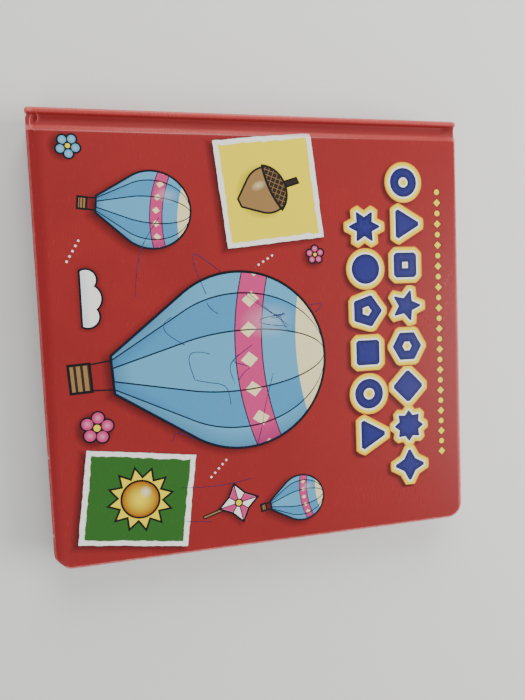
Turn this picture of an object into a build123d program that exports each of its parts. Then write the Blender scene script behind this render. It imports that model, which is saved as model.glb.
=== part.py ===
from build123d import *
import os
from math import sqrt

# A hardback board book, closed and lying on its back cover. Millimetres.
# X runs from the spine to the fore-edge, Y from the tail to the head and Z up from the table.
# The origin is on the table, under the middle of the back cover.

# Case: two covers and a spine of greyboard, in one printed and laminated paper wrap
cover_width = 200.0  # spine's outer face to the fore-edge
cover_height = 201.0  # tail to head
corner_radius = 8.0  # fore-edge corners of the covers
board_thickness = 2.1
wrap_thickness = 0.2
turn_in = 15.0  # wrap folded onto the boards' inner faces
board_edge_radius = 0.6  # worn edges of the cover boards
spine_edge_radius = 0.9  # crushed long edges of the spine board
spine_corner_radius = 1.6  # its outer corners at head and tail
pleat_count = 5  # gathers of the turn-in at each round corner
pleat_width = 0.3
pleat_margin = 1.2  # from the corner's rim to the first pleat end

# Hinges: a groove pressed along the spine, in both covers
hinge_width = 9.75  # spine's outer face to the cover boards
groove_floor = 2.0  # flat bottom of the groove, before it rises to the board
hinge_clearance = 0.3  # between the spine and what it turns against

# Pages: folded card sheets, glued back to back
leaf_count = 5
sheet_thickness = 1.0  # half a leaf, and the pastedowns
leaf_gap = 0.3
cover_gap = 0.6  # between the first page and the front pastedown
page_margin = 3.0  # how far the covers stand out beyond the pages
spine_hollow = 0.8  # between the spine and the folds of the sheets
fold_glue = 0.5  # how far glue fills the notches between the folds

# Lift-up flaps of thin card on the first page
flap_thickness = 0.3
tab_width = 8.0  # glued strip above the crease
crease_width = 0.5
crease_depth = 0.15
thumb_radius = 7.0  # finger notch in each flap's free edge
thumb_depth = 3.0
wide_flap_width = 66.0
wide_flap_drop = 46.0  # crease to free edge
wide_flap_radius = 6.0  # its four corners
wide_flap_from_fore = 53.0  # pages' fore-edge to the middle of its crease
wide_flap_from_tail = 77.5  # pages' tail edge to its crease
round_flap_radius = 25.0
round_flap_crease = 34.0
round_flap_from_spine = 51.0  # pages' spine edge to the middle of its crease
round_flap_from_head = 35.5  # pages' head edge to its crease

# Levels, as depths under a cover's outer face, the same at the front and at the back
cover_thickness = board_thickness + 2 * wrap_thickness
groove_depth = cover_thickness + hinge_clearance
bed_depth = groove_depth + 2 * wrap_thickness  # inner face of the turn-ins across a groove
page_depth = cover_thickness + sheet_thickness  # inner face of a pastedown
leaf_thickness = 2 * sheet_thickness
leaf_pitch = leaf_thickness + leaf_gap
first_page_z = page_depth + leaf_count * leaf_pitch
book_thickness = first_page_z + cover_gap + page_depth

# Places along X and Y
spine_x = -cover_width / 2
fore_x = cover_width / 2
head_y = cover_height / 2
spine_inner_x = spine_x + cover_thickness
strip_x = spine_inner_x + hinge_clearance
rise_x = strip_x + groove_floor
board_x = spine_x + hinge_width
page_x = spine_inner_x + spine_hollow
page_fore_x = fore_x - page_margin
page_head_y = head_y - page_margin
fold_radius = sheet_thickness + leaf_gap / 2
first_fold_radius = sheet_thickness + cover_gap / 2
fold_x = page_x + fold_radius
fold_centres = [(fold_x, page_depth + leaf_gap / 2 + i * leaf_pitch) for i in range(leaf_count)]
turn_in_y = head_y - turn_in
spine_leg = groove_depth + wrap_thickness  # wrap down the spine's inner face
board_round = min(board_edge_radius, 0.45 * board_thickness)
spine_round = min(spine_edge_radius, 0.45 * board_thickness)
spine_corner = min(spine_corner_radius, 0.9 * board_thickness)
wide_crease = (page_fore_x - wide_flap_from_fore, wide_flap_from_tail - page_head_y)
round_crease = (page_x + round_flap_from_spine, page_head_y - round_flap_from_head)
round_flap_y = round_crease[1] - sqrt(round_flap_radius**2 - (round_flap_crease / 2) ** 2)
middle = Plane.XY.offset(book_thickness / 2)


def cover_outline(near_x, inset):
    # A cover seen from above, from near_x to the fore-edge and inset on the other three sides
    with BuildSketch() as outline:
        with Locations((near_x, 0)):
            Rectangle(fore_x - inset - near_x, 2 * (head_y - inset), align=(Align.MIN, Align.CENTER))
        if inset < corner_radius:
            fillet(outline.vertices().group_by(Axis.X)[-1], corner_radius - inset)
    return outline.sketch


def hinge_band(half_length):
    # The strip beside the spine that a pastedown covers, seen from above
    with BuildSketch() as band:
        with Locations((page_x, 0)):
            Rectangle(board_x - page_x, 2 * half_length, align=(Align.MIN, Align.CENTER))
    return band.sketch


def rim_edges(slab):
    # The edges of both faces of a cover, apart from those beside the hinge
    flats = [slab.faces().sort_by(Axis.Z)[0], slab.faces().sort_by(Axis.Z)[-1]]
    return [edge for flat in flats for edge in flat.edges().sort_by(Axis.X)[1:]]


def groove_section(layers):
    # The wrap across a hinge: flat beside the spine, then a cove that rises to the board's edge
    with BuildSketch() as section:
        with BuildLine() as face:
            Line((strip_x, groove_depth), (rise_x, groove_depth))
            TangentArc((rise_x, groove_depth), (board_x, 0), tangent=(1, 0))
            offset(face.line, amount=layers * wrap_thickness, side=Side.LEFT)
        make_face()
    return section.sketch


def pastedown():
    # A card sheet on a cover's inner face, bedded down between the turn-ins and over the hinge
    with BuildPart() as sheet:
        with BuildSketch(Plane.XY.offset(cover_thickness)):
            add(cover_outline(board_x, page_margin))
        extrude(amount=sheet_thickness)
        with BuildSketch(Plane.XY.offset(cover_thickness - wrap_thickness)):
            add(cover_outline(board_x, turn_in))
        extrude(amount=wrap_thickness)
        with BuildSketch(Plane.XY.offset(bed_depth)):
            add(hinge_band(page_head_y))
        extrude(amount=page_depth - bed_depth)
        with BuildSketch(Plane.XY.offset(groove_depth + wrap_thickness)):
            add(hinge_band(turn_in_y))
        extrude(amount=wrap_thickness)
        add(back_wrap.part, mode=Mode.SUBTRACT)
    return sheet.part


def spine_slab(inset):
    # The spine, inset all round: crushed long edges, and round outer corners at head and tail
    with BuildPart() as slab:
        with BuildSketch(Plane.XZ) as section:
            with Locations((spine_x + inset, inset)):
                Rectangle(cover_thickness - 2 * inset, book_thickness - 2 * inset, align=Align.MIN)
            fillet(section.vertices(), spine_round + wrap_thickness - inset)
        extrude(amount=head_y - inset, both=True)
        with BuildSketch() as outline:
            with Locations((spine_x + inset, 0)):
                Rectangle(
                    cover_thickness - 2 * inset,
                    2 * (head_y - inset),
                    align=(Align.MIN, Align.CENTER),
                )
            fillet(outline.vertices().group_by(Axis.X)[0], spine_corner + wrap_thickness - inset)
        extrude(amount=book_thickness, mode=Mode.INTERSECT)
    return slab.part


def flap_cut(crease, crease_length, free_y):
    # What is cut from a flap: the finger notch in its free edge and the scored line of its crease
    with BuildPart() as cut:
        with BuildSketch(Plane.XY.offset(first_page_z)):
            with Locations((crease[0], free_y - thumb_radius + thumb_depth)):
                Circle(thumb_radius)
        extrude(amount=flap_thickness)
        with BuildSketch(Plane.YZ.offset(crease[0])):
            with Locations((crease[1], first_page_z + flap_thickness)):
                Polygon((-crease_width / 2, 0), (0, -crease_depth), (crease_width / 2, 0), align=None)
        extrude(amount=crease_length / 2, both=True)
    return cut.part


# Back cover board
with BuildPart() as back_board:
    with BuildSketch(Plane.XY.offset(wrap_thickness)):
        add(cover_outline(board_x, wrap_thickness))
    extrude(amount=board_thickness)
    fillet(rim_edges(back_board), board_round)
back_board.part.label = "back_board"

# Its wrap: outer face, edges and turn-ins, and the groove of the hinge
with BuildPart() as back_wrap:
    with BuildSketch():
        add(cover_outline(board_x, 0))
    extrude(amount=cover_thickness)
    fillet(rim_edges(back_wrap), board_round + wrap_thickness)
    with BuildSketch(Plane.XZ):
        add(groove_section(1))
    extrude(amount=head_y, both=True)
    with BuildSketch(Plane.XZ.offset(turn_in_y), Plane.XZ.offset(-head_y)):
        add(groove_section(2))
    extrude(amount=turn_in)
    add(back_board.part, mode=Mode.SUBTRACT)
    with BuildSketch(Plane.XY.offset(cover_thickness - wrap_thickness)):
        add(cover_outline(board_x, turn_in))
        for side in (1, -1):
            corner = (fore_x - corner_radius, side * (head_y - corner_radius))
            with Locations(corner):
                with PolarLocations(corner_radius / 2, pleat_count, 0 if side > 0 else -90, 90):
                    Rectangle(corner_radius - 2 * pleat_margin, pleat_width)
    extrude(amount=wrap_thickness, mode=Mode.SUBTRACT)
back_wrap.part.label = "back_wrap"

# Page block: a comb of leaves whose sheets fold round at the spine, glued down by its last sheet.
# The first sheet's fold is open above the first page, and the last one's is flat over the turn-ins.
with BuildPart() as page_block:
    with BuildSketch(Plane.XZ):
        with Locations((fold_x - fold_glue, page_depth)):
            Rectangle(page_fore_x - fold_x + fold_glue, first_page_z - page_depth, align=Align.MIN)
        with Locations(*fold_centres):
            Circle(fold_radius)
        with Locations((page_x + first_fold_radius, first_page_z + cover_gap / 2)):
            Circle(first_fold_radius)
        with Locations((page_x, first_page_z)):
            Rectangle(board_x - page_x, book_thickness, align=Align.MIN, mode=Mode.SUBTRACT)
        with Locations((page_x, 0)):
            Rectangle(board_x - page_x, bed_depth, align=Align.MIN, mode=Mode.SUBTRACT)
        with Locations(*fold_centres):
            Rectangle(
                page_fore_x - fold_x,
                leaf_gap,
                align=(Align.MIN, Align.CENTER),
                mode=Mode.SUBTRACT,
            )
            Circle(leaf_gap / 2, mode=Mode.SUBTRACT)
    extrude(amount=page_head_y, both=True)
    with BuildSketch():
        add(cover_outline(page_x, page_margin))
    extrude(amount=book_thickness, mode=Mode.INTERSECT)
    add(pastedown())
page_block.part.label = "page_block"

# Flaps on the first page, each glued down by the tab above its crease
with BuildPart() as wide_flap:
    with BuildSketch(Plane.XY.offset(first_page_z)) as outline:
        with Locations((wide_crease[0], wide_crease[1] + tab_width)):
            Rectangle(wide_flap_width, wide_flap_drop + tab_width, align=(Align.CENTER, Align.MAX))
        fillet(outline.vertices(), wide_flap_radius)
    extrude(amount=flap_thickness)
    add(flap_cut(wide_crease, wide_flap_width, wide_crease[1] - wide_flap_drop), mode=Mode.SUBTRACT)
wide_flap.part.label = "wide_flap"

with BuildPart() as round_flap:
    with BuildSketch(Plane.XY.offset(first_page_z)):
        with Locations((round_crease[0], round_flap_y)):
            Circle(round_flap_radius)
        with Locations(round_crease):
            Rectangle(
                2 * round_flap_radius,
                round_flap_radius,
                align=(Align.CENTER, Align.MIN),
                mode=Mode.SUBTRACT,
            )
            Rectangle(round_flap_crease, tab_width, align=(Align.CENTER, Align.MIN))
    extrude(amount=flap_thickness)
    add(flap_cut(round_crease, round_flap_crease, round_flap_y - round_flap_radius), mode=Mode.SUBTRACT)
round_flap.part.label = "round_flap"

# Spine board, and the wrap round it: outer face, long edges, turn-ins and a leg down into each groove
with BuildPart() as spine_board:
    add(spine_slab(wrap_thickness))
spine_board.part.label = "spine_board"

with BuildPart() as spine_wrap:
    add(spine_slab(0))
    add(spine_board.part, mode=Mode.SUBTRACT)
    with BuildSketch(Plane.YZ.offset(spine_inner_x)):
        with Locations((0, book_thickness / 2)):
            Rectangle(2 * turn_in_y, book_thickness - 2 * spine_leg)
    extrude(amount=-wrap_thickness, mode=Mode.SUBTRACT)
spine_wrap.part.label = "spine_wrap"

# The front cover is the back cover's mirror image
with BuildPart() as front_board:
    mirror(back_board.part, about=middle)
front_board.part.label = "front_board"

with BuildPart() as front_wrap:
    mirror(back_wrap.part, about=middle)
front_wrap.part.label = "front_wrap"

with BuildPart() as front_pastedown:
    mirror(pastedown(), about=middle)
front_pastedown.part.label = "front_pastedown"

os.makedirs("parts", exist_ok=True)
for piece in (
    back_board,
    back_wrap,
    page_block,
    wide_flap,
    round_flap,
    spine_board,
    spine_wrap,
    front_board,
    front_wrap,
    front_pastedown,
):
    export_step(piece.part, f"parts/{piece.part.label}.step")
print("book thickness", round(book_thickness, 2))
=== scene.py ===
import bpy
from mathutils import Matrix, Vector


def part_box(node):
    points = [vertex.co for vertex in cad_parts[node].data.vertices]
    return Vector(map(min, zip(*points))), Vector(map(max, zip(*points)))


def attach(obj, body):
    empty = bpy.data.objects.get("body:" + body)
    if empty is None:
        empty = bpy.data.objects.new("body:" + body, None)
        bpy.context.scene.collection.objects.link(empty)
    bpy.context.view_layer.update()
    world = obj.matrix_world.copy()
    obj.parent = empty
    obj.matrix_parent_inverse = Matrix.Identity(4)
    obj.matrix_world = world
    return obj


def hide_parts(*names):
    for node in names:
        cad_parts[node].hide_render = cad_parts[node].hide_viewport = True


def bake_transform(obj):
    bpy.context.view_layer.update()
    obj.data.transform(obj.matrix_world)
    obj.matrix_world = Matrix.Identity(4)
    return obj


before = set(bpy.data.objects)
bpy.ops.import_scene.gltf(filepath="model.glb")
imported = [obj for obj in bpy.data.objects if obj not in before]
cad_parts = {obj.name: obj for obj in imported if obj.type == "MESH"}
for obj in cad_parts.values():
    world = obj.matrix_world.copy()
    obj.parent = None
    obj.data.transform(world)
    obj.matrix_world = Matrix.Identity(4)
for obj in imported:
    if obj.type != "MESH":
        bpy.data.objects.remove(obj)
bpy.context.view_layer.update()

import math

import bmesh
import bpy
from mathutils import Vector, noise

# Lengths are millimetres here, and metres only where Blender is given them.
# X runs from the spine to the fore-edge, Y from the tail to the head and Z up, as in the frame.
mm = 0.001


def nodeBox(node):
    return [[round(v / mm, 3) for v in corner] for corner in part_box(node)]


frontBox = nodeBox("front_wrap")
boardBox = nodeBox("front_board")
spineBox = nodeBox("spine_wrap")
pasteBox = nodeBox("front_pastedown")
wideBox = nodeBox("wide_flap")
roundBox = nodeBox("round_flap")

book = {
    "thickness": spineBox[1][2],
    "spine": spineBox[0][0],
    "spineInner": spineBox[1][0],
    "board": boardBox[0][0],  # near edge of the cover boards
    "fore": frontBox[1][0],
    "head": frontBox[1][1],
    "sheet": frontBox[1][2] - boardBox[1][2],
    "firstPage": wideBox[0][2],
}
leaf = {
    # the pastedown sinks onto the board between the turn-ins, by the wrap's thickness
    "sheet": pasteBox[1][2] - pasteBox[0][2] - book["sheet"],
    "gap": 0.3,
}
leaf["pitch"] = 2 * leaf["sheet"] + leaf["gap"]
leaf["join"] = book["firstPage"] - leaf["sheet"] - leaf["pitch"]  # level where two sheets are glued
book["cover"] = boardBox[1][2] - boardBox[0][2] + 2 * book["sheet"]
book["groove"] = book["thickness"] - frontBox[0][2] - 2 * book["sheet"]


# Modelling steps

def clearSelection():
    if bpy.context.object and bpy.context.object.mode != "OBJECT":
        bpy.ops.object.mode_set(mode="OBJECT")
    bpy.ops.object.select_all(action="DESELECT")


def makeActive(piece):
    clearSelection()
    bpy.context.view_layer.objects.active = piece
    piece.select_set(True)


def startBlock(name, low, high):
    # a block between two corners, its place in its mesh, left in edit mode
    clearSelection()
    middle = [(a + b) / 2 * mm for a, b in zip(low, high)]
    size = [(b - a) * mm for a, b in zip(low, high)]
    bpy.ops.mesh.primitive_cube_add(size=1, location=middle, scale=size)
    piece = bpy.context.object
    piece.name = piece.data.name = name
    bpy.ops.object.transform_apply()
    bpy.ops.object.mode_set(mode="EDIT")
    return piece


def pick(piece, kind, test):
    # select what passes a test of its middle and of its normal, or an edge's direction
    bpy.ops.mesh.select_mode(type=kind)
    bpy.ops.mesh.select_all(action="DESELECT")
    shape = bmesh.from_edit_mesh(piece.data)
    if kind == "FACE":
        for face in shape.faces:
            if test(face.calc_center_median() / mm, face.normal):
                face.select_set(True)
    else:
        for edge in shape.edges:
            ends = [v.co for v in edge.verts]
            if test((ends[0] + ends[1]) / 2 / mm, (ends[1] - ends[0]).normalized()):
                edge.select_set(True)
    bmesh.update_edit_mesh(piece.data)


def roundEdges(piece, radius, segments, test):
    pick(piece, "EDGE", test)
    bpy.ops.mesh.bevel(offset=radius * mm, segments=segments, affect="EDGES")


def dropFaces(piece, test):
    pick(piece, "FACE", test)
    bpy.ops.mesh.delete(type="FACE")


def insetRings(piece, rings, test):
    # rings of faces inside the faces that pass the test; gives the last ring's distance
    pick(piece, "FACE", test)
    last = 0.0
    for ring in rings:
        bpy.ops.mesh.inset(thickness=(ring - last) * mm, use_even_offset=True)
        last = ring
    return last


def cutAcross(axis, places):
    # score the whole mesh at each place along an axis
    normal = [0, 0, 0]
    normal[axis] = 1
    for place in places:
        point = [0, 0, 0]
        point[axis] = place * mm
        bpy.ops.mesh.select_all(action="SELECT")
        bpy.ops.mesh.bisect(plane_co=point, plane_no=normal)


def moveVertices(piece, shaped):
    # each vertex goes where a function of its place says
    bpy.ops.object.mode_set(mode="OBJECT")
    for vertex in piece.data.vertices:
        vertex.co = Vector(shaped(*(vertex.co / mm))) * mm


def smooth(piece, angle=40):
    makeActive(piece)
    bpy.ops.object.shade_smooth_by_angle(angle=math.radians(angle))


def finishSheet(piece):
    makeActive(piece)
    modifier = piece.modifiers.new("thickness", "SOLIDIFY")
    modifier.thickness = book["sheet"] * mm
    modifier.offset = -1
    bpy.ops.object.modifier_apply(modifier=modifier.name)
    smooth(piece)
    # the print on what bends in a pose follows this attribute
    places = piece.data.attributes.new("restPlace", "FLOAT_VECTOR", "POINT")
    places.data.foreach_set("vector", [c for v in piece.data.vertices for c in v.co])


def steps(first, last, size):
    count = max(1, round((last - first) / size))
    return [first + (last - first) * i / count for i in range(count + 1)]


def bump(distance, width):
    return math.exp(-(distance / width) ** 2)


# Case wrap: one printed sheet round both boards, turned in at the edges

wrapValues = {
    "cornerRadius": 8.0,
    "cornerSteps": 12,
    "rimRadius": 0.8,
    "rimRings": (0.05, 0.2, 0.45, 0.8),
    "turnIn": 15.0,
    "gridStep": 4.0,
    "fineStep": 0.4,
    "crumpled": 9.0,  # length from the tail that is cut fine
    "grooveFloor": 2.3,
    "grooveSteps": 10,
    "boardCuts": (-0.25, 0.15, 0.5),
    "coveShelf": 2.2,  # the last even slope of the cove before the board
    "coveSteep": 0.64,  # how steep it is
    # the groove is shallow at its ends: over what length at tail and head, and to what share
    "endReach": (2.8, 6.5),
    "endShare": 0.6,
    "raised": 6.6,  # length from the head that is cut at the end step
    "endStep": 0.6,
    "wallFillet": 0.7,
    "wallTop": 1.2,  # where the sheet leaves the spine, under the cover's face
    "edgeEase": 0.14,
    "wave": 0.07,
    "grooveWave": 0.12,
    "flatCorner": 4.2,  # the knocked corner is flattened this far from its sharp point
    "flatKeep": 0.35,
}


def edgeDistance(x, y, radius):
    # how far a point is inside the rounded outline of a cover
    across = book["fore"] - x
    along = book["head"] - abs(y)
    if across < radius and along < radius:
        return radius - math.hypot(radius - across, radius - along)
    return min(across, along)


def roundDrop(distance, radius):
    if distance >= radius:
        return 0.0
    out = radius - max(distance, 0.0)
    return radius - math.sqrt(max(radius * radius - out * out, 0.0))


def grooveAt(x, y, values):
    # depth of the sheet's face under the cover's face: a floor, then a cove up to the board
    wall = book["spineInner"]
    near = min(1.0, max(0.0, (book["head"] - abs(y)) / values["endReach"][y > 0]))
    end = values["endShare"]
    deep = book["groove"] * (end + (1 - end) * near * near * (3 - 2 * near))
    start = min(values["wallTop"], deep)
    rise = wall + values["grooveFloor"]
    shelf = book["board"] - values["coveShelf"]
    high = values["coveShelf"] * values["coveSteep"]
    if x <= wall + 0.001:
        return start
    if x <= rise:
        cove = max(deep - roundDrop(x - wall, values["wallFillet"]), start)
    elif x < shelf:
        share = (x - rise) / (shelf - rise)
        cove = deep + (high - deep) * share * share * (3 - 2 * share)
        cove -= values["coveSteep"] * (shelf - rise) * share * share * (share - 1)
    else:
        cove = (book["board"] - x) * values["coveSteep"]
    return (cove + math.hypot(cove, values["edgeEase"])) / 2


# where the tail end of the groove was knocked; Y is from the tail and X from the spine
# swells: height, then place and spread along Y and along X
swells = ((0.25, 1.2, 0.5, 5.5, 2.0), (-0.2, 3.2, 0.7, 2.4, 2.2))
# folds: place along Y and how far it bows, middle along X and half its length, height and width
creases = ((2.7, -1.0, 3.4, 3.6, 0.45, 0.5), (4.2, 0.9, 1.4, 2.1, 0.4, 0.45))


def crumple(x, y):
    along = x - book["spineInner"]
    inward = y + book["head"]
    rise = 0.0
    for height, level, spread, middle, width in swells:
        rise += height * bump(inward - level, spread) * bump(along - middle, width)
    for level, bow, middle, half, height, width in creases:
        share = (along - middle) / half
        off = inward - level - bow * (1 - share * share)
        rise += height * bump(off, width) * bump(share, 0.95)
    return rise


def faceLevel(x, y, values):
    # height of the cover's face: the groove with its ripples, and a slight sag of the panel
    ripple = noise.noise(Vector((x * 0.9, y * 0.06, 3.0))) * values["grooveWave"]
    ripple *= bump(x - book["board"] + 4.0, 3.2)
    sag = values["wave"] * (0.5 + 0.5 * noise.noise(Vector((x * 0.03, y * 0.03, 7.0))))
    sag *= min(1.0, max(0.0, (x - book["board"]) / 6.0))
    return book["thickness"] - grooveAt(x, y, values) - sag + ripple


def knock(x, y, depth):
    # the front cover's corner at the tail of the fore-edge was flattened
    give = (x - book["fore"] - y - book["head"]) / math.sqrt(2) + depth
    give = max(give, 0.0) * (1 - wrapValues["flatKeep"]) / math.sqrt(2)
    return x - give, y + give


def isForeCorner(at, way):
    return abs(way.z) > 0.9 and at.x > 0


def coverWrap(name, values, front):
    wall = book["spineInner"]
    fore = book["fore"]
    head = book["head"]
    board = book["board"]
    top = book["thickness"]
    under = top - book["cover"]
    piece = startBlock(name, (wall, -head, under), (fore, head, top))
    radius = values["cornerRadius"]
    roundEdges(piece, radius, values["cornerSteps"], isForeCorner)
    last = insetRings(piece, values["rimRings"], lambda at, way: abs(way.z) > 0.9)
    # the board shows through where nothing is turned in
    inner = head - values["turnIn"]
    cutAcross(1, [-inner, inner])
    cutAcross(0, [wall + last, fore - values["turnIn"]])
    dropFaces(
        piece,
        lambda at, way: way.z < -0.9
        and (at.x < wall + last or (abs(at.y) < inner and at.x < fore - values["turnIn"])),
    )
    dropFaces(piece, lambda at, way: way.x < -0.9)
    rise = wall + values["grooveFloor"]
    cutAcross(0, [wall + 0.02])
    cutAcross(0, steps(rise, board, (board - rise) / values["grooveSteps"]))
    cutAcross(0, [board + cut for cut in values["boardCuts"]])
    cutAcross(0, steps(board + 1.5, fore - 1.5, values["gridStep"]))
    cutAcross(1, steps(-head + values["fineStep"], -head + values["crumpled"], values["fineStep"]))
    raised = head - values["raised"]
    cutAcross(1, steps(-head + values["crumpled"], raised, values["gridStep"])[1:])
    cutAcross(1, steps(raised, head - 1.0, values["endStep"])[1:])

    def shaped(x, y, z):
        isTop = z > (top + under) / 2
        inward = edgeDistance(x, y, radius)
        thin = x < board - 0.01
        rim = book["sheet"] if thin else values["rimRadius"]
        if isTop:
            z = faceLevel(x, y, values) - roundDrop(inward, rim)
            if front:
                z = min(z + crumple(x, y), top - 0.02 if thin else z + 1.0)
        elif thin:
            # what is turned in lies flat across the groove, so the groove's ends are closed
            z = top - book["groove"] - 2 * book["sheet"] + roundDrop(inward, rim)
        else:
            z = under + roundDrop(inward, rim)
        if front:
            x, y = knock(x, y, values["flatCorner"])
        return x, y, z if front else top - z

    moveVertices(piece, shaped)
    if not front:
        bpy.ops.object.mode_set(mode="EDIT")
        bpy.ops.mesh.select_all(action="SELECT")
        bpy.ops.mesh.flip_normals()
        bpy.ops.object.mode_set(mode="OBJECT")
    finishSheet(piece)
    return piece


boardValues = {
    "rimSteps": 3,
    "clearance": 0.03,  # to the wrap at the knocked corner
}


def coverBoard(name, values):
    # the front cover's board follows its wrap round the knocked corner
    piece = startBlock(name, *boardBox)
    sheet = book["sheet"]
    radius = wrapValues["cornerRadius"] - sheet
    roundEdges(piece, radius, wrapValues["cornerSteps"], isForeCorner)
    roundEdges(
        piece,
        wrapValues["rimRadius"] - sheet,
        values["rimSteps"],
        lambda at, way: abs(way.z) < 0.1 and at.x > boardBox[0][0] + 0.01,
    )
    share = 1 - wrapValues["flatKeep"]
    depth = wrapValues["flatCorner"] + sheet + values["clearance"] / share
    moveVertices(piece, lambda x, y, z: (*knock(x, y, depth), z))
    smooth(piece)
    return piece


spineValues = {
    "edgeRadius": 1.1,
    "edgeSteps": 6,
    "endRadius": 0.35,
    "endRings": (0.08, 0.35),
    "endCuts": (0.15, 0.5, 1.0),
    "cornerRadius": 1.8,
    "cornerCuts": (0.1, 0.2, 0.4, 0.7, 1.1, 1.5, 1.8),
    "leg": 3.0,
    "fineStep": 0.5,
    "crumpled": 6.0,
    "wave": 0.05,
    "bruise": 0.05,
}


def spineWrap(name, values):
    outer = book["spine"]
    inner = book["spineInner"]
    head = book["head"]
    top = book["thickness"]
    opening = head - wrapValues["turnIn"]
    grid = wrapValues["gridStep"]
    piece = startBlock(name, (outer, -head, 0), (inner, head, top))
    roundEdges(
        piece, values["edgeRadius"], values["edgeSteps"], lambda at, way: abs(way.y) > 0.9
    )
    insetRings(piece, values["endRings"], lambda at, way: abs(way.y) > 0.9)
    cutAcross(1, [-opening, opening])
    cutAcross(2, [values["leg"], top - values["leg"]])
    dropFaces(
        piece,
        lambda at, way: way.x > 0.9
        and abs(at.y) < opening
        and values["leg"] < at.z < top - values["leg"],
    )
    ends = [head - ring for ring in values["endCuts"]]
    cutAcross(1, ends + [-end for end in ends])
    cutAcross(1, steps(-head + 1.5, -head + values["crumpled"], values["fineStep"]))
    cutAcross(1, steps(-head + values["crumpled"], head - 2.0, grid)[1:])
    cutAcross(2, steps(values["leg"], top - values["leg"], grid)[1:-1])
    cutAcross(0, [outer + step for step in values["cornerCuts"]])

    def shaped(x, y, z):
        # round outer corners at head and tail, and soft ends
        side = 1 if y > 0 else -1
        end = head - roundDrop(x - outer, values["cornerRadius"])
        rim = min(x - outer, inner - x + 0.3, z, top - z)
        if abs(y) > head - 0.001:
            end -= roundDrop(rim + 0.05, values["endRadius"])
        y = side * min(abs(y), end - (head - abs(y)) * 0.5)
        ripple = values["wave"] * noise.noise(Vector((x * 0.4, y * 0.07, z * 0.3)))
        # the tail end of the front edge is bruised
        bruise = bump(y + head, 2.2) * bump(z - top, 2.0)
        z -= values["bruise"] * bruise * (1 + noise.noise(Vector((x * 1.9, y * 1.7, 1.0))))
        x += values["bruise"] * bruise * (x < outer + 1.3)
        return x + ripple * (x < inner - 0.2), y, z

    moveVertices(piece, shaped)
    finishSheet(piece)
    return piece


print("case wrap")
frontWrap = coverWrap("frontCoverWrap", wrapValues, True)
backWrap = coverWrap("backCoverWrap", wrapValues, False)
spineSheet = spineWrap("spineSheet", spineValues)
frontBoard = coverBoard("frontCoverBoard", boardValues)


# Ballpoint lines that a child drew on the cover, each through its own points

penValues = {
    "width": 0.34,
    "rise": 0.012,  # how far the ink stands on the lamination
    "smoothness": 7,
    "lines": (
        ((-3.0, 10.7), (-9.7, 2.4), (-15.1, -4.0), (-20.8, -9.9), (-17.7, -8.8)),
        ((-17.7, -8.8), (-12.1, -1.5), (-7.6, 5.0), (-8.3, 9.1)),
        ((-8.9, 9.1), (-8.0, 3.0), (-6.7, -3.4), (-4.7, -3.0), (-3.6, 3.0), (-2.7, 10.7)),
        ((18.9, 2.3), (33.3, -2.3), (44.7, -4.2), (53.0, -7.0)),
        ((5.0, -7.3), (8.7, -12.9), (12.3, -17.6), (14.0, -12.2), (15.3, -7.8), (17.8, -12.5))
        + ((21.6, -14.5),),
        ((9.1, -13.7), (12.3, -18.0), (17.4, -18.4), (22.7, -16.1)),
        ((-29.1, -20.5), (-33.9, -26.6), (-37.3, -31.3), (-37.1, -33.8), (-32.4, -32.7)),
        ((-32.4, -32.7), (-25.7, -30.3), (-19.1, -27.8)),
        ((-9.4, -44.0), (-7.7, -47.2), (-4.2, -48.1), (0.0, -44.3), (3.5, -38.6)),
        ((-15.3, -27.7), (-12.1, -26.2), (-10.0, -22.7)),
        ((8.2, -27.4), (7.0, -30.9), (7.0, -36.5), (12.0, -37.4), (19.7, -34.7)),
        ((19.7, -34.7), (21.3, -28.9), (22.6, -21.0), (27.3, -18.9), (32.3, -18.6)),
        ((47.2, -36.2), (44.2, -40.8), (42.5, -45.3), (47.2, -46.3)),
        ((-53.6, -47.2), (-46.9, -52.3), (-35.6, -57.7), (-18.9, -59.5)),
        ((-9.4, 8.5), (-6.4, 5.8), (-7.6, 0.8), (-8.3, 6.9), (-4.4, 7.6), (0.0, 11.1)),
        ((68.9, -43.2), (71.0, -24.7), (67.9, -10.2)),
        ((84.9, -42.2), (86.4, -30.2)),
        ((-12.3, 21.1), (-14.2, 32.7), (-8.9, 23.9)),
    ),
}


def penLines(name, values):
    line = bpy.data.curves.new(name, "CURVE")
    line.dimensions = "3D"
    line.resolution_u = values["smoothness"]
    line.bevel_depth = values["width"] / 2 * mm
    line.bevel_resolution = 0
    line.use_fill_caps = True
    for points in values["lines"]:
        spline = line.splines.new("NURBS")
        spline.points.add(len(points) - 1)
        for point, (x, y) in zip(spline.points, points):
            point.co = (x * mm, y * mm, 0, 1)
        spline.order_u = 3
        spline.use_endpoint_u = True
    piece = bpy.data.objects.new(name, line)
    bpy.context.collection.objects.link(piece)
    makeActive(piece)
    bpy.ops.object.convert(target="MESH")
    piece = bpy.context.object
    flat = values["rise"] / (values["width"] / 2)
    moveVertices(piece, lambda x, y, z: (x, y, faceLevel(x, y, wrapValues) + z * flat))
    return piece


penWork = penLines("penLines", penValues)


# Material maths: a Wire is a socket that takes part in sums

def sumOf(operation, swapped=False):
    def work(self, other):
        return maths(operation, *((other, self) if swapped else (self, other)))

    return work


class Wire:
    def __init__(self, paint, socket):
        self.paint = paint
        self.socket = socket

    __add__ = sumOf("ADD")
    __radd__ = sumOf("ADD", True)
    __sub__ = sumOf("SUBTRACT")
    __rsub__ = sumOf("SUBTRACT", True)
    __mul__ = sumOf("MULTIPLY")
    __rmul__ = sumOf("MULTIPLY", True)
    __truediv__ = sumOf("DIVIDE")

    def __neg__(self):
        return maths("MULTIPLY", self, -1.0)

    def __abs__(self):
        return maths("ABSOLUTE", self)


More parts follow.
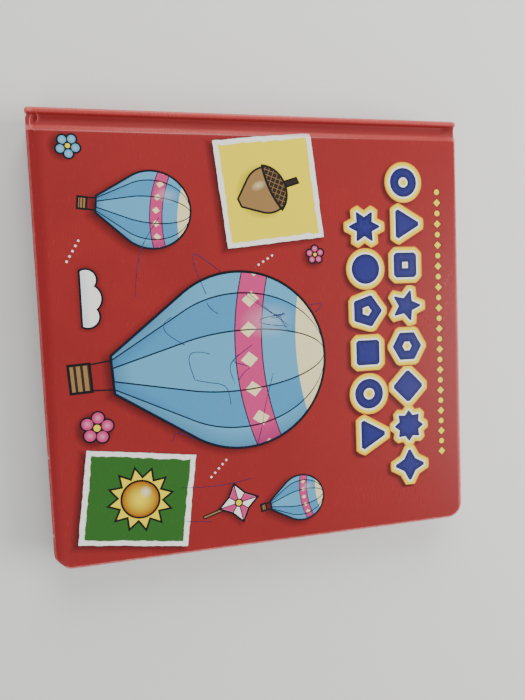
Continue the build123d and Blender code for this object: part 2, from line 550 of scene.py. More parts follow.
def maths(operation, *values, clamp=False):
    paint = next(value.paint for value in values if isinstance(value, Wire))
    settings = {"operation": operation, "use_clamp": clamp}
    return paint.node("Math", settings, dict(enumerate(values)))


def larger(first, second):
    return maths("MAXIMUM", first, second)


def smaller(first, second):
    return maths("MINIMUM", first, second)


def toAndFro(value, limit):
    # rises from 0 to the limit and falls back, over and over
    return maths("PINGPONG", value, limit)


def ramp(value, slope, start, clamp=True):
    # a straight line, held between 0 and 1 when it is clamped
    return maths("MULTIPLY_ADD", value, slope, start, clamp=clamp)


def inside(distance, soft=0.12):
    # 1 inside a shape and 0 outside, over a soft edge
    return ramp(distance, -1 / soft, 0.5)


class Paint:
    def __init__(self, name):
        self.material = bpy.data.materials.new(name)
        self.material.use_nodes = True
        self.tree = self.material.node_tree
        self.shader = self.tree.nodes["Principled BSDF"]

    def feed(self, socket, value):
        if isinstance(value, Wire):
            self.tree.links.new(value.socket, socket)
        else:
            socket.default_value = colour(inks[value]) if isinstance(value, str) else value

    def node(self, kind, settings, feeds, out=0):
        made = self.tree.nodes.new("ShaderNode" + kind)
        for key, value in settings.items():
            setattr(made, key, value)
        for key, value in feeds.items():
            self.feed(made.inputs[key], value)
        return Wire(self, made.outputs[out])

    def mix(self, factor, first, second):
        return self.node("Mix", {"data_type": "RGBA"}, {0: factor, 6: first, 7: second}, 2)

    def place(self, rest=False):
        # the point in millimetres, at rest
        if rest:
            found = self.node("Attribute", {"attribute_name": "restPlace"}, {}, "Vector")
        else:
            found = self.node("TexCoord", {}, {}, "Object")
        return self.node("VectorMath", {"operation": "SCALE"}, {0: found, "Scale": 1 / mm})

    def split(self, vector):
        apart = self.tree.nodes.new("ShaderNodeSeparateXYZ")
        self.feed(apart.inputs[0], vector)
        return [Wire(self, socket) for socket in apart.outputs]

    def grain(self, vector, scale, detail=2.0, rough=0.5):
        feeds = {"Vector": vector, "Scale": scale, "Detail": detail, "Roughness": rough}
        return self.node("TexNoise", {}, feeds)

    def stretch(self, vector, x, y, z=1.0):
        return self.node("VectorMath", {"operation": "MULTIPLY"}, {0: vector, 1: (x, y, z)})

    def emboss(self, height, strength, depth):
        feeds = {"Strength": strength, "Distance": depth * mm, "Height": height}
        return self.node("Bump", {}, feeds)

    def finish(self, tone, dull, shine=0.32, **others):
        sockets = {"Base Color": tone, "Roughness": dull, "Specular IOR Level": shine, **others}
        for key, value in sockets.items():
            self.feed(self.shader.inputs[key], value)
        return self.material


def colour(levels):
    # a colour as it is read off a screen, from 0 to 255
    shares = [v / 255 for v in levels]
    linear = [v / 12.92 if v <= 0.04045 else ((v + 0.055) / 1.055) ** 2.4 for v in shares]
    return (*linear, 1.0)


inks = {
    "red": (150, 38, 38),
    "deepRed": (134, 31, 31),
    "bandRed": (116, 14, 20),
    "shade": (40, 6, 6),
    "line": (14, 14, 20),
    "pen": (34, 34, 78),
    "navy": (38, 40, 112),
    "deepNavy": (18, 22, 74),
    "white": (244, 243, 236),
    "yellow": (240, 218, 22),
    "gold": (242, 168, 30),
    "amber": (150, 66, 8),
    "sky": (92, 160, 194),
    "paleSky": (126, 190, 222),
    "deepSky": (72, 142, 184),
    "pink": (196, 60, 118),
    "rose": (176, 40, 84),
    "cream": (236, 222, 170),
    "tan": (146, 112, 66),
    "brown": (44, 32, 24),
    "green": (44, 98, 32),
    "paleGreen": (96, 154, 52),
    "rubAndSheen": (206, 82, 78),
    "wearAndSheen": (216, 122, 116),
    "card": (232, 228, 218),
    "cardShade": (206, 200, 186),
    "grey": (168, 160, 146),
    "darkGrey": (128, 120, 108),
    "floorShade": (226, 224, 220),
    "floor": (232, 230, 227),
}


class Print(Paint):
    # flat shapes laid over each other in their inks

    def lay(self, ink, mask):
        self.tone = self.mix(mask, self.tone, ink)

    def layer(self, draw, feeds, *values):
        # a motif is drawn in a node group of its own, over the colour that is there
        outer = self.tree
        under = self.tone
        self.tree = bpy.data.node_groups.new(draw.__name__, "ShaderNodeTree")
        face = self.tree.interface
        for index in range(len(feeds)):
            face.new_socket(f"number{index}", in_out="INPUT", socket_type="NodeSocketFloat")
        face.new_socket("under", in_out="INPUT", socket_type="NodeSocketColor")
        face.new_socket("tone", in_out="OUTPUT", socket_type="NodeSocketColor")
        entry = self.tree.nodes.new("NodeGroupInput")
        inner = [Wire(self, socket) for socket in entry.outputs]
        self.tone = inner[len(feeds)]
        draw(self, *inner[: len(feeds)], *values)
        self.feed(self.tree.nodes.new("NodeGroupOutput").inputs[0], self.tone)
        made = outer.nodes.new("ShaderNodeGroup")
        made.node_tree = self.tree
        self.tree = outer
        for socket, value in zip(made.inputs, (*feeds, under)):
            self.feed(socket, value)
        self.tone = Wire(self, made.outputs[0])

    def fill(self, distance, ink, soft=0.12):
        self.lay(ink, inside(distance, soft))

    def outlined(self, distance, ink, line=0.45):
        self.fill(distance - line, "line")
        self.fill(distance + line, ink)

    def glow(self, ink, distance, blur, strength):
        self.lay(ink, inside(distance, blur) * strength)

    def shadow(self, distance, strength, blur):
        self.glow("shade", distance, blur, strength)


# Shapes as distances in millimetres, negative inside

def cosAndSin(degrees):
    return math.cos(math.radians(degrees)), math.sin(math.radians(degrees))


def local(x, y, middle, turn=0.0):
    # a place seen from a middle, turned in degrees
    u = x - middle[0]
    v = y - middle[1]
    if not turn:
        return u, v
    c, s = cosAndSin(turn)
    return u * c + v * s, v * c - u * s


def reach(u, v):
    return maths("SQRT", u * u + v * v)


def block(u, v, halfWide, halfHigh):
    return larger(abs(u) - halfWide, abs(v) - halfHigh)


def folded(u, v, half):
    # the angle round the middle, folded to the nearest of a shape's points
    return toAndFro(maths("ARCTAN2", u, v), half)


def starLean(points, outer, inner):
    half = math.pi / points
    return half, math.atan2(outer - inner * math.cos(half), inner * math.sin(half))


def star(u, v, points, outer, inner):
    half, lean = starLean(points, outer, inner)
    turned = folded(u, v, half)
    return reach(u, v) * maths("COSINE", turned - lean) - outer * math.cos(lean)


def petals(u, v, count, out, radius):
    turned = folded(u, v, math.pi / count)
    far = reach(u, v)
    return reach(far * maths("COSINE", turned) - out, far * maths("SINE", turned)) - radius


def drop(u, v, radius, length, lean):
    # a round top that tapers straight down to a mouth; also gives its half width
    c, s = cosAndSin(lean)
    side = abs(u)
    dome = reach(u, v) - radius
    taper = side * c - v * s - radius
    form = dome + maths("LESS_THAN", v * c + side * s, 0.0) * (taper - dome)
    wide = maths("SQRT", larger(radius * radius - v * v, 0.01))
    low = (radius + v * s) / c
    wide = wide + maths("LESS_THAN", v, -radius * s) * (low - wide)
    return larger(form, -v - length), wide


def heap(x, y, rounds):
    # discs run together: the place and the radius of each
    form = None
    for cx, cy, radius in rounds:
        disc = reach(x - cx, y - cy) - radius
        form = disc if form is None else smaller(form, disc)
    return form


def stroke(x, y, first, last, width):
    # distance to a straight line between two points, and the way along it
    run = (last[0] - first[0], last[1] - first[1])
    size = math.hypot(*run)
    way = (run[0] / size, run[1] / size)
    u = x - first[0]
    v = y - first[1]
    along = u * way[0] + v * way[1]
    past = along - smaller(larger(along, 0.0), size)
    across = v * way[0] - u * way[1]
    return reach(past, across) - width / 2, along


# The cover's print: generic shapes, balloons and cards on a red ground

titleRows = (
    {
        "left": -80.0,
        "level": 71.5,
        "pitch": 20.0,
        # points, outer and inner radius of each
        "shapes": (
            (24, 7.0, 7.0, "hollow"),
            (3, 9.2, 4.6),
            (4, 8.6, 6.1, "stands", "hollow"),
            (5, 8.6, 4.0),
            (6, 7.8, 6.75, "hollow"),
            (4, 8.4, 6.0),
            (8, 8.0, 5.6),
            (4, 8.8, 4.4),
        ),
    },
    {
        "left": -59.0,
        "level": 50.5,
        "pitch": 20.3,
        "shapes": (
            (6, 8.6, 4.6),
            (24, 7.2, 7.2),
            (5, 8.2, 6.6, "hollow"),
            (4, 8.6, 6.1, "stands"),
            (24, 7.4, 7.4, "hollow"),
            (3, 9.4, 4.7),
        ),
    },
)
titleBands = {
    "stroke": 2.3,  # half the width of a hollow shape's line
    "edge": 3.0,
    "gold": 2.75,
    "yellow": 2.2,
    "white": 0.9,
    "shadowShift": (1.2, -1.6),
}
smallRow = {"left": -68.0, "level": 89.5, "pitch": 5.2, "count": 26, "radius": 1.9}
spineRow = {"left": -58.5, "level": 0.0, "pitch": 9.0, "count": 13, "radius": 3.0}
# each motif's middle, then its turn where it has one, then its sizes
balloons = (
    ((12.0, -13.0), 3.0, 41.0, 58.0),
    ((-57.0, -50.0), -6.0, 17.0, 24.0),
    ((80.0, 14.0), 8.0, 11.0, 15.5),
)
balloonLean = 36.0
cards = {
    "yellow": ((-66.0, 4.0), 6.0, (22.0, 21.0), "yellow"),
    "green": ((72.0, -63.0), -8.0, (19.0, 22.0), "green"),
    "back": ((0.0, 14.0), 5.0, (26.0, 24.0), "green"),
    "border": 2.3,
    "rough": 0.9,
}
acorn = ((-66.0, 3.0), 24.0, 10.5, 13.0, 12.0)
sun = ((72.0, -62.0), 8.5, 14.5)
backSun = ((0.0, 14.0), 11.0, 18.5)
sunRays = 12
pinwheel = ((79.0, -17.0), 9.5, 17.0)
flowers = (
    ((38.0, -79.0), 10.0, 7.5, "pink"),
    ((-84.0, -84.0), -14.0, 5.5, "sky"),
    ((-36.0, 25.0), 20.0, 4.6, "pink"),
)
backFlowers = (
    ((-52.0, -46.0), 10.0, 7.0, "pink"),
    ((0.0, -46.0), -14.0, 7.0, "sky"),
    ((52.0, -46.0), 30.0, 7.0, "pink"),
)
cloud = ((-19.0, -80.0), 6.5)
cloudPuffs = ((-1.25, 0.72), (0.0, 1.0), (1.2, 0.8))  # shift and scale of each
leaders = (
    ((-44.0, -82.0), (-34.0, -88.0)),
    ((58.0, -22.0), (66.0, -30.0)),
    ((-36.0, 4.0), (-31.0, -4.0)),
)
leaderDots = {"pitch": 2.6, "size": 0.9}


def cellsOf(row, x, y):
    # the number of the cell a point is in, and the point's place from the cell's middle
    cell = maths("FLOOR", (x - row["left"]) / row["pitch"])
    return cell, x - row["left"] - (cell + 0.5) * row["pitch"], y - row["level"]


def shapeRow(paint, x, y, row):
    # each cell of a row takes the numbers of its shape from the stops of one ramp
    count = len(row["shapes"])
    table = paint.tree.nodes.new("ShaderNodeValToRGB")
    table.color_ramp.interpolation = "CONSTANT"
    marks = table.color_ramp.elements
    while len(marks) < count:
        marks.new(0.5)
    for index, (points, outer, inner, *kinds) in enumerate(row["shapes"]):
        half, lean = starLean(points, outer, inner)
        turn = 0.0 if "stands" in kinds else lean / math.pi
        deep = outer * math.cos(lean) / 20
        marks[index].position = index / count
        marks[index].color = (half / math.pi, turn, deep, float("hollow" in kinds))
    cell, u, v = cellsOf(row, x, y)
    paint.feed(table.inputs[0], (cell + 0.5) / count)
    half, lean, deep = paint.split(Wire(paint, table.outputs[0]))
    hollow = Wire(paint, table.outputs[1])
    turned = folded(u, v, half * math.pi)
    far = reach(u, v)
    solid = far * maths("COSINE", turned - lean * math.pi) - deep * 20
    line = abs(solid + titleBands["stroke"]) - titleBands["stroke"]
    form = solid + hollow * (line - solid)
    # a shape and its bands stay in their cell, and the row ends at its last cell
    form = larger(form, far - (row["pitch"] / 2 - titleBands["edge"] + 0.7))
    middle = row["left"] + count * row["pitch"] / 2
    return form + maths("GREATER_THAN", abs(x - middle), count * row["pitch"] / 2) * 20


def printTitle(paint, x, y):
    shift = titleBands["shadowShift"]
    for row in titleRows:
        under = shapeRow(paint, x - shift[0], y - shift[1], row)
        paint.shadow(under - titleBands["edge"], 0.75, 2.4)
    for row in titleRows:
        form = shapeRow(paint, x, y, row)
        paint.fill(form - titleBands["edge"], "amber", 0.3)
        paint.fill(form - titleBands["gold"], "gold")
        paint.fill(form - titleBands["yellow"], "yellow", 0.3)
        paint.fill(form - titleBands["white"], "white")
        paint.fill(form, paint.mix(ramp(form, -0.45, 0.0), "deepNavy", "navy"))


def printSmallRow(paint, x, y, row):
    half = row["count"] * row["pitch"] / 2
    cell, u, v = cellsOf(row, x, y)
    dot = reach(u, v) - row["radius"] * 0.72
    lozenge = (abs(u) + abs(v) - row["radius"]) * 0.7
    form = dot + toAndFro(cell, 1.0) * (lozenge - dot)
    form = larger(form, abs(x - row["left"] - half) - half)
    paint.shadow(form - 0.4, 0.5, 1.2)
    paint.fill(form, "yellow")


def printBalloon(paint, x, y, middle, turn, size, low):
    line = 0.35 + 0.006 * size
    under = drop(*local(x - 1.2, y + 2.6, middle, turn), size, low, balloonLean)[0]
    paint.shadow(under, 0.8, 5.0)
    u, v = local(x, y, middle, turn)
    form, wide = drop(u, v, size, low, balloonLean)
    # ropes and basket
    hang = size * 0.34
    deck = block(u, v + low + hang, size * 0.15, size * 0.11)
    for side in (-1, 1):
        ends = ((side * 0.16 * size, -low), (side * 0.13 * size, -low - hang))
        paint.fill(stroke(u, v, *ends, 0.7)[0], "line")
    paint.outlined(deck, "tan", line)
    paint.fill(larger(deck + line, toAndFro(v, size * 0.036) - size * 0.014), "brown")
    # envelope with its gores
    paint.fill(form - line, "line")
    paint.fill(form + line, "sky")
    share = abs(u) / wide
    bent = v - u * u * (0.16 / size)
    level = abs(bent - size * 0.1)
    spot = toAndFro(u, size * 0.17) / 0.9 + level - size * 0.1
    for distance, ink, soft in (
        ((abs(share - 0.55) - 0.21) * wide, "deepSky", 0.6),
        (size * 0.66 - bent, "cream", 0.12),
        (level - size * 0.15 - line * 0.8, "line", 0.12),
        (level - size * 0.15, "pink", 0.12),
        (spot * 0.7, "cream", 0.12),
    ):
        paint.fill(larger(form + line, distance), ink, soft)
    seams = smaller(abs(share - 0.34), abs(share - 0.76)) * wide - line * 0.55
    paint.fill(larger(form, seams), "line")
    # soft modelling: a pale streak high on one side and a dark rim low on the other
    streak = reach((u + size * 0.42) * 1.6, v - size * 0.36) - size * 0.1
    paint.glow("white", streak, size * 0.5, 0.35)
    rim = inside(-form - size * 0.1, size * 0.22) * inside(form, 0.2)
    paint.lay("deepNavy", rim * inside(v - u, size) * 0.4)


def printCard(paint, x, y, rough, middle, turn, half, ink):
    outer = [side + cards["border"] for side in half]
    paint.shadow(block(*local(x - 1.2, y + 2.2, middle, turn), *outer), 0.8, 4.0)
    u, v = local(x, y, middle, turn)
    edge = block(u, v, *outer) + rough * 0.5
    paint.fill(edge - 0.2, "line", 0.3)
    paint.fill(edge, "white", 0.2)
    paint.fill(block(u, v, *half) + rough, ink, 0.3)


def printAcorn(paint, x, y, middle, turn, radius, length, top):
    u, v = local(x, y, middle, turn)
    under = reach(*local(x - 0.8, y + 2.2, middle, turn)) - top * 0.92
    paint.glow("brown", under, 4.0, 0.5)
    nut = drop(u, v, radius, length * 1.12, 38.0)[0]
    paint.outlined(larger(nut, v - 2.0), "tan")
    paint.glow("cream", reach((u + 3.5) * 1.8, v + 3.0) - 2.0, 4.0, 0.6)
    cap = larger(reach(u, (v + 1.5) * 1.15) - top, -v + 1.0 + u * u * 0.012)
    paint.outlined(block(u - v * 0.12, v - top + 0.5, 1.3, 3.6), "brown")
    paint.outlined(cap, "brown")
    net = smaller(toAndFro(u + v, 1.5), toAndFro(u - v, 1.5)) - 0.18
    paint.fill(larger(cap + 0.7, net), "tan", 0.3)


def printSun(paint, x, y, middle, radius, rays):
    u, v = local(x, y, middle, 7.0)
    paint.outlined(star(u, v, sunRays, rays, radius + 1.5), "yellow")
    disc = reach(u, v) - radius
    paint.outlined(disc, paint.mix(inside(disc + 3.5, 7.0), "amber", "yellow"))
    paint.glow("white", reach(u + 2.8, v - 2.8) - 1.4, 3.0, 0.7)


def printPinwheel(paint, x, y, middle, size, length):
    u, v = local(x, y, middle, 12.0)
    paint.shadow(star(u - 0.8, v + 1.8, 4, size, size * 0.6), 0.6, 3.0)
    stick = stroke(u, v, (0.0, 0.0), (1.5, -length), 1.3)[0]
    paint.outlined(stick, "tan", 0.3)
    far = reach(u, v)
    blades = star(u, v, 4, size, size * 0.58)
    paint.outlined(blades, "white")
    turn = maths("SINE", maths("ARCTAN2", u, v) * 4.0)
    paint.fill(larger(blades + 0.45, turn * 4.0), "pink", 0.3)
    paint.fill(larger(blades + 0.2, abs(turn) * far * 0.25 - 0.22), "line")
    paint.outlined(far - 1.7, "yellow", 0.35)


def printFlower(paint, x, y, middle, turn, size, ink):
    u, v = local(x, y, middle, turn)
    paint.shadow(reach(u - 0.7, v + 1.7) - size, 0.6, 3.0)
    form = petals(u, v, 5, size * 0.6, size * 0.38)
    paint.outlined(form, ink, 0.38)
    paint.glow("white", form + size * 0.3, size * 0.3, 0.35)
    paint.outlined(reach(u, v) - size * 0.24, "yellow", 0.3)


def printCloud(paint, x, y, middle, size):
    cx, cy = middle
    puffs = [(cx + shift * size, cy, size * scale) for shift, scale in cloudPuffs]
    form = larger(heap(x, y, puffs), cy - size * 0.4 - y)
    paint.shadow(form - 0.9, 0.5, 3.0)
    paint.outlined(form, "white")
    paint.lay("paleSky", inside(form + 0.6, 0.4) * inside(y - cy + 1.0, 5.0) * 0.6)


def printLeaders(paint, x, y):
    size = leaderDots["size"]
    for first, last in leaders:
        line, along = stroke(x, y, first, last, size)
        dots = toAndFro(along, leaderDots["pitch"] / 2) - size / 2
        paint.fill(larger(line, dots), "white", 0.2)


def coverPrint(paint, x, y, rough):
    paint.layer(printTitle, (x, y))
    paint.layer(printSmallRow, (x, y), smallRow)
    for values in balloons:
        paint.layer(printBalloon, (x, y), *values)
    paint.layer(printCard, (x, y, rough), *cards["yellow"])
    paint.layer(printAcorn, (x, y), *acorn)
    paint.layer(printCard, (x, y, rough), *cards["green"])
    paint.layer(printSun, (x, y), *sun)
    paint.layer(printPinwheel, (x, y), *pinwheel)
    for values in flowers:
        paint.layer(printFlower, (x, y), *values)
    paint.layer(printCloud, (x, y), *cloud)
    paint.layer(printLeaders, (x, y))


def backPrint(paint, x, y, rough):
    paint.layer(printCard, (x, y, rough), *cards["back"])
    paint.layer(printSun, (x, y), *backSun)
    for values in backFlowers:
        paint.layer(printFlower, (x, y), *values)


wearAndSheenValues = {
    "faceDepth": 1.3,  # the print ends this far round the rim
    "rim": 1.0,
    "rimShare": {"front": 0.55, "back": 0.3, "spine": 0.3},
    "rimSoft": 0.5,
    "rimGrain": 0.9,
    "headBand": 1.5,
    # white chips through the lamination: middle and size
    "chips": (
        ((86.3, 100.3), 0.6),
        ((88.6, 100.4), 0.35),
        ((49.2, -100.3), 0.55),
        ((84.0, -100.3), 0.65),
        ((-96.9, -100.3), 0.5),
    ),
    "rubAndSheen": ((-98.6, -98.4), (-90.6, 100.0), (-99.2, 99.4)),
    "crests": (1.3, 1.1),  # how far inside the spine's face and the board's edge, and half width
    "tailBand": (4.6, 0.012),  # its width at the middle, and how it narrows toward the fore-edge
    "scratched": ((-15.0, 94.5), (13.0, 3.2)),  # middle and half size
}


def paintCreases(paint, x, y):
    # painted highlight along the crests of the sheet's folds at the tail end of the groove
    for level, bow, middle, half, *_ in creases:
        across = (x - book["spineInner"] - middle) / half
        crest = (1 - across * across) * bow - book["head"] + level
        line = inside(abs(y - crest) - 0.1, 0.4) * inside(abs(across) - 0.85, 0.4)
        paint.lay("wearAndSheen", line * 0.8)


def paintWearAndSheen(paint, x, y, scatter, streaks):
    for (cx, cy), size in wearAndSheenValues["chips"]:
        chip = reach((x - cx) * 0.8, (y - cy) * 1.4) - size + scatter * 1.6
        paint.lay("card", inside(chip, 0.4))
    # pale spots at the crests' ends: wear at the tail end, painted highlight at the head end
    for cx, cy in wearAndSheenValues["rubAndSheen"]:
        paint.glow("wearAndSheen", reach((x - cx) * 1.2, y - cy) - 0.9 + scatter, 0.8, 0.8)
    # a darker red band along the tail edge, narrowing toward the fore-edge
    wide, narrowing = wearAndSheenValues["tailBand"]
    band = inside(y + x * narrowing + book["head"] - wide, 3.0)
    paint.lay("bandRed", band * inside(book["board"] - x, 1.0) * 0.5)
    # painted highlight along the two crests that stand up on each side of the groove, partly rubbed
    # wear
    place, half = wearAndSheenValues["crests"]
    crest = inside(abs(x - book["spine"] - place) - half, 0.9)
    crest = crest + inside(abs(x - book["board"] + place) - half, 1.2) * 0.7
    paint.lay("rubAndSheen", crest * ramp(streaks, 0.9, 0.15, False))
    middle, half = wearAndSheenValues["scratched"]
    patch = inside(block(*local(x, y, middle), *half), 4.0)
    paint.lay("wearAndSheen", ramp(streaks, 14.0, -8.9) * (patch * 0.6 + 0.08))


def openPaint(name, rest=False):
    paint = Print(name)
    point = paint.place(rest)
    return paint, point, *paint.split(point)


def wrapPaint(name, kind):
    # laminated paper over board: a printed ground, made pale along the rims by wear and a painted
    # highlight
    paint, point, x, y, z = openPaint(name, True)
    mottle = paint.grain(point, 0.035, 2.0)
    fine = paint.grain(point, 1.6, 3.0)
    streaks = paint.grain(paint.stretch(point, 0.22, 2.6), 1.0, 2.0, 0.6)
    ground = paint.tone = paint.mix(mottle, "red", "deepRed")
    top = book["thickness"]
    rough = (paint.grain(point, 0.22, 2.0) - 0.5) * cards["rough"] * 2
    if kind == "front":
        coverPrint(paint, x, y, rough)
        facing = inside(top - wearAndSheenValues["faceDepth"] - z, 0.2)
    elif kind == "back":
        backPrint(paint, -x, y, rough)
        facing = inside(z - wearAndSheenValues["faceDepth"], 0.2)
    else:
        paint.layer(printSmallRow, (-y, z - top / 2), spineRow)
        facing = inside(x - book["spine"] - 0.15, 0.1)
    paint.tone = paint.mix(facing, ground, paint.tone)
    # wear and painted highlight along the rims of the covers and the spine
    scatter = (fine - 0.5) * wearAndSheenValues["rimGrain"]
    across = smaller(book["fore"] - x, x - book["spine"])
    radius = wrapValues["cornerRadius"]
    inner = larger(x - book["fore"] + radius, 0.0)
    over = larger(abs(y) - book["head"] + radius, 0.0)
    edge = smaller(radius - reach(inner, over), across)
    band = inside(edge - wearAndSheenValues["rim"] + scatter, wearAndSheenValues["rimSoft"])
    onRim = inside(smaller(top - z, z) - 1.2, 1.2)
    broken = ramp(paint.grain(point, 0.4, 3.0), 2.4, -0.85)
    paint.lay("wearAndSheen", band * onRim * (broken * 0.45 + wearAndSheenValues["rimShare"][kind]))
    if kind != "back":
        # wear and painted highlight along the head edge, stronger toward the fore-edge
        headEdge = book["head"] - y - wearAndSheenValues["headBand"] + scatter * 1.5
        upper = inside(top - z - 2.0, 1.0)
        paint.lay("wearAndSheen", inside(headEdge, 1.6) * ramp(x, 0.006, 0.45) * upper * 0.75)
        paint.layer(paintCreases, (x, y))
        above = paint.tone
        paint.layer(paintWearAndSheen, (x, y, scatter, streaks))
        paint.tone = paint.mix(upper, above, paint.tone)
    dull = ramp(band, 0.18, 0.3, False)
    dull = dull + (mottle - 0.5) * 0.12 + (streaks - 0.5) * 0.12
    if kind != "spine":
        # dust keeps the groove from shining
        dull = dull + inside(x - book["board"] + wrapValues["coveShelf"], 1.0) * 0.3
    relief = paint.grain(point, 0.5, 2.0) * 0.6 + fine * 0.12
    return paint.finish(paint.tone, dull, Normal=paint.emboss(relief, 0.1, 0.25))


# Paper and board inside the covers

roundRadius = (roundBox[1][0] - roundBox[0][0]) / 2
pageValues = {
    "edgeInk": 0.07,  # colour that bleeds onto a leaf's edge from its two printed faces
    "joinWidth": 0.03,
    "rays": (16, 27.5, 38.0, 24.0),  # count, radius at their feet and at their points, disc
    "hills": ((22.0, 9.0, 0.035, "paleGreen"), (56.0, 8.0, 0.026, "green")),
    "trunk": (-70.0, -34.0),
    "crown": ((-70.0, -8.0, 15.0), (-79.0, -19.0, 10.0), (-61.0, -19.0, 10.0)),
    "cloud": ((46.0, 58.0), 13.0),
    "flowers": (
        ((-20.0, -72.0), 8.0, 8.0, "pink"),
        ((-58.0, -82.0), 30.0, 6.0, "rose"),
        ((86.0, -84.0), -12.0, 6.5, "sky"),
    ),
}
flapValues = {
    "roundMiddle": (roundBox[0][0] + roundRadius, roundBox[0][1] + roundRadius),
    "disc": 22.0,
    "wideMiddle": [(wideBox[0][axis] + wideBox[1][axis]) / 2 for axis in (0, 1)],
    "ribbon": 4.2,
    "spots": (5.5, 1.4),  # half their pitch, and radius
    "knot": 3.2,
}
endpaperSpots = {"half": 8.0, "radius": 2.1}


def cutCard(paint, point):
    # fine level fibres, and their tone
    fibre = paint.grain(paint.stretch(point, 0.5, 0.5, 6.0), 1.0, 3.0)
    return fibre, paint.mix(fibre, "cardShade", "card")


def leafEdges(paint, point, z):
    # cut card, a line where two sheets are glued, and colour from the printed faces
    paint.tone = cutCard(paint, point)[1]
    paint.lay("tan", ramp(paint.grain(point, 0.07, 2.0), 1.6, -0.8) * 0.35)
    fromJoin = toAndFro(z - leaf["join"], leaf["pitch"] / 2)
    paint.lay("darkGrey", inside(fromJoin - pageValues["joinWidth"], 0.06) * 0.55)
    paint.lay("sky", inside(leaf["sheet"] - fromJoin - pageValues["edgeInk"], 0.08) * 0.4)


def printPage(paint, x, y):
    # hills, a tree and the rays round the round flap
    for level, height, rate, ink in pageValues["hills"]:
        paint.outlined(y + level - maths("SINE", x * rate + 1.0) * height, ink, 0.3)
    paint.outlined(block(*local(x, y, pageValues["trunk"]), 3.0, 14.0), "tan")
    paint.outlined(heap(x, y, pageValues["crown"]), "green")
    u, v = local(x, y, flapValues["roundMiddle"], 5.0)
    count, feet, points, disc = pageValues["rays"]
    paint.outlined(star(u, v, count, points, feet), "yellow")
    paint.fill(reach(u, v) - disc, "amber", 0.5)


def pagePaint(name):
    paint, point, x, y, z = openPaint(name)
    leafEdges(paint, point, z)
    edges = paint.tone
    paint.tone = paint.mix(ramp(y, 0.006, 0.4), "white", "paleSky")
    paint.layer(printPage, (x, y))
    paint.layer(printCloud, (x, y), *pageValues["cloud"])
    for values in pageValues["flowers"]:
        paint.layer(printFlower, (x, y), *values)
    tone = paint.mix(inside(book["firstPage"] - 0.04 - z, 0.03), edges, paint.tone)
    relief = paint.grain(paint.stretch(point, 1.0, 1.0, 5.0), 1.2, 2.0)
    dull = ramp(relief, 0.2, 0.42, False)
    return paint.finish(tone, dull, Normal=paint.emboss(relief, 0.2, 0.1))


def printRoundFlap(paint, x, y):
    u, v = local(x, y, flapValues["roundMiddle"])
    disc = reach(u, v) - flapValues["disc"]
    paint.tone = "amber"
    paint.outlined(disc, paint.mix(inside(disc + 11.0, 20.0), "amber", "yellow"))
    paint.glow("white", reach((u + 8.0) * 1.3, v - 8.0) - 3.0, 6.0, 0.7)


def printWideFlap(paint, x, y):
    # a parcel with a bow
    u, v = local(x, y, flapValues["wideMiddle"])
    paint.tone = "pink"
    half, radius = flapValues["spots"]
    paint.fill(reach(toAndFro(u, half), toAndFro(v, half)) - radius, "cream")
    for way in (u, v):
        paint.outlined(abs(way) - flapValues["ribbon"], "yellow")
    for side in (-1, 1):
        bow = local(u, v, (side * 8.0, 2.0), side * 25.0)
        paint.outlined(reach(bow[0], bow[1] * 1.9) - 7.5, "yellow")
    paint.outlined(reach(u, v) - flapValues["knot"], "amber")


def flapPaint(name, top, draw):
    paint, point, x, y, z = openPaint(name)
    paint.tone = "white"
    paint.layer(draw, (x, y))
    fibre = paint.grain(point, 3.0, 3.0)
    edges = paint.mix(fibre, "cardShade", "card")
    tone = paint.mix(inside(top - 0.03 - z, 0.03), edges, paint.tone)
    return paint.finish(tone, ramp(fibre, 0.2, 0.36, False))


def pastedownPaint(name):
    paint, point, x, y, z = openPaint(name)
    fibre, edges = cutCard(paint, point)
    paint.tone = "sky"
    half = endpaperSpots["half"]
    u = toAndFro(x, half)
    v = toAndFro(y, half)
    paint.fill(reach(u, v) - endpaperSpots["radius"], "yellow")
    paint.fill(reach(half - u, half - v) - endpaperSpots["radius"], "white")
    tone = paint.mix(inside(z - pasteBox[0][2] - 0.04, 0.03), edges, paint.tone)
    return paint.finish(tone, ramp(fibre, 0.15, 0.38, False))


def boardPaint(name):
    # grey board made of waste paper: pale and dark flecks in a warm grey
    paint = Paint(name)
    point = paint.place()
    flecks = paint.grain(paint.stretch(point, 1.0, 1.0, 4.0), 2.4, 3.0, 0.7)
    tone = paint.mix(paint.grain(point, 0.5, 3.0), "darkGrey", "grey")
    tone = paint.mix(ramp(flecks, 8.0, -5.0), tone, "card")
    return paint.finish(tone, 0.85, 0.5, Normal=paint.emboss(flecks, 0.4, 0.1))


def penPaint(name):
    paint = Paint(name)
    point = paint.place()
    tone = paint.mix(ramp(paint.grain(point, 0.8, 2.0), 2.0, -0.6), "pen", "navy")
    fade = ramp(paint.grain(point, 0.25, 2.0), 2.4, -0.45)
    return paint.finish(tone, 0.4, Alpha=fade)


def dress(piece, material):
    piece.data.materials.clear()
    piece.data.materials.append(material)


def redress(node, material):
    # a CAD node keeps its shape and gets this finish
    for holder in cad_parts[node].material_slots:
        holder.material = material


print("paper and print")
dress(frontWrap, wrapPaint("frontCoverPrint", "front"))
dress(backWrap, wrapPaint("backCoverPrint", "back"))
dress(spineSheet, wrapPaint("spinePaper", "spine"))
dress(penWork, penPaint("ballpointInk"))
redress("page_block", pagePaint("pageCard"))
redress("round_flap", flapPaint("roundFlapCard", roundBox[1][2], printRoundFlap))
redress("wide_flap", flapPaint("wideFlapCard", wideBox[1][2], printWideFlap))
redress("front_pastedown", pastedownPaint("endpaperPrint"))
greyBoard = boardPaint("greyBoardPulp")
dress(frontBoard, greyBoard)
for node in ("back_board", "spine_board"):
    redress(node, greyBoard)

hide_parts("front_wrap")
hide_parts("back_wrap")
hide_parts("spine_wrap")
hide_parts("front_board")
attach(frontBoard, "front_cover")
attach(spineSheet, "spine")
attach(penWork, "front_cover")
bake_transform(frontWrap)
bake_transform(backWrap)


# Studio: a pale floor, soft light and the photograph's viewpoint

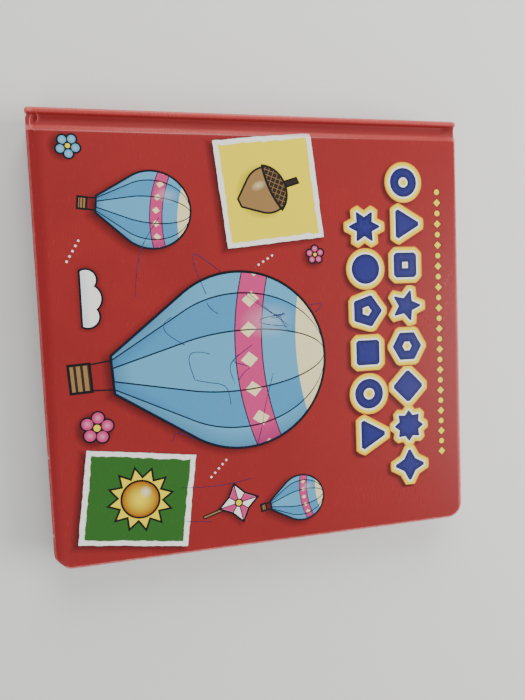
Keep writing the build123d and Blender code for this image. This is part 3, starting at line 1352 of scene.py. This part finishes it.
studio = {
    "cameraPlace": (-11.9, -68.9, 291.0),
    "cameraTurn": (-3.436, -13.879, 87.549),
    "focalLength": 600.0,  # in pixels of the 525 by 700 frame
    "frameHeight": 700.0,
    "sensor": 36.0,
    "floorSize": 6.0,
    "floor": ("floorShade", "floor"),
    "air": (0.93, 0.95, 1.0, 1.0),
    "ambient": 0.5,
    # place in metres, size and power of each
    "lights": (
        ((-0.95, 0.1, 0.62), 0.8, 11.0),
        ((0.1, 0.95, 0.6), 0.8, 14.0),
        ((0.9, -0.8, 1.0), 1.2, 4.0),
    ),
}


def makeStudio(values):
    clearSelection()
    bpy.ops.mesh.primitive_plane_add(size=values["floorSize"], location=(0, 0, 0))
    floor = bpy.context.object
    floor.name = "studioFloor"
    paint = Paint("floorPaint")
    dust = paint.grain(paint.node("TexCoord", {}, {}, "Object"), 3.0, 3.0)
    tone = paint.mix(dust, *values["floor"])
    floor.data.materials.append(paint.finish(tone, 0.7, 0.5))
    for index, (place, size, power) in enumerate(values["lights"]):
        bpy.ops.object.light_add(type="AREA", location=place)
        lamp = bpy.context.object
        lamp.name = f"softLight{index}"
        lamp.data.shape = "DISK"
        lamp.data.size = size
        lamp.data.energy = power
        lamp.rotation_mode = "QUATERNION"
        lamp.rotation_quaternion = (-Vector(place)).to_track_quat("-Z", "Y")
    world = bpy.data.worlds.new("softRoom")
    world.use_nodes = True
    air = world.node_tree.nodes["Background"].inputs
    air["Color"].default_value = values["air"]
    air["Strength"].default_value = values["ambient"]
    bpy.context.scene.world = world
    place = [v * mm for v in values["cameraPlace"]]
    turn = [math.radians(v) for v in values["cameraTurn"]]
    bpy.ops.object.camera_add(location=place, rotation=turn)
    camera = bpy.context.object
    camera.name = "photoCamera"
    camera.data.sensor_fit = "VERTICAL"
    camera.data.sensor_height = values["sensor"]
    camera.data.lens = values["focalLength"] / values["frameHeight"] * values["sensor"]
    camera.data.clip_start = 0.01
    bpy.context.scene.camera = camera


makeStudio(studio)
print("studio")
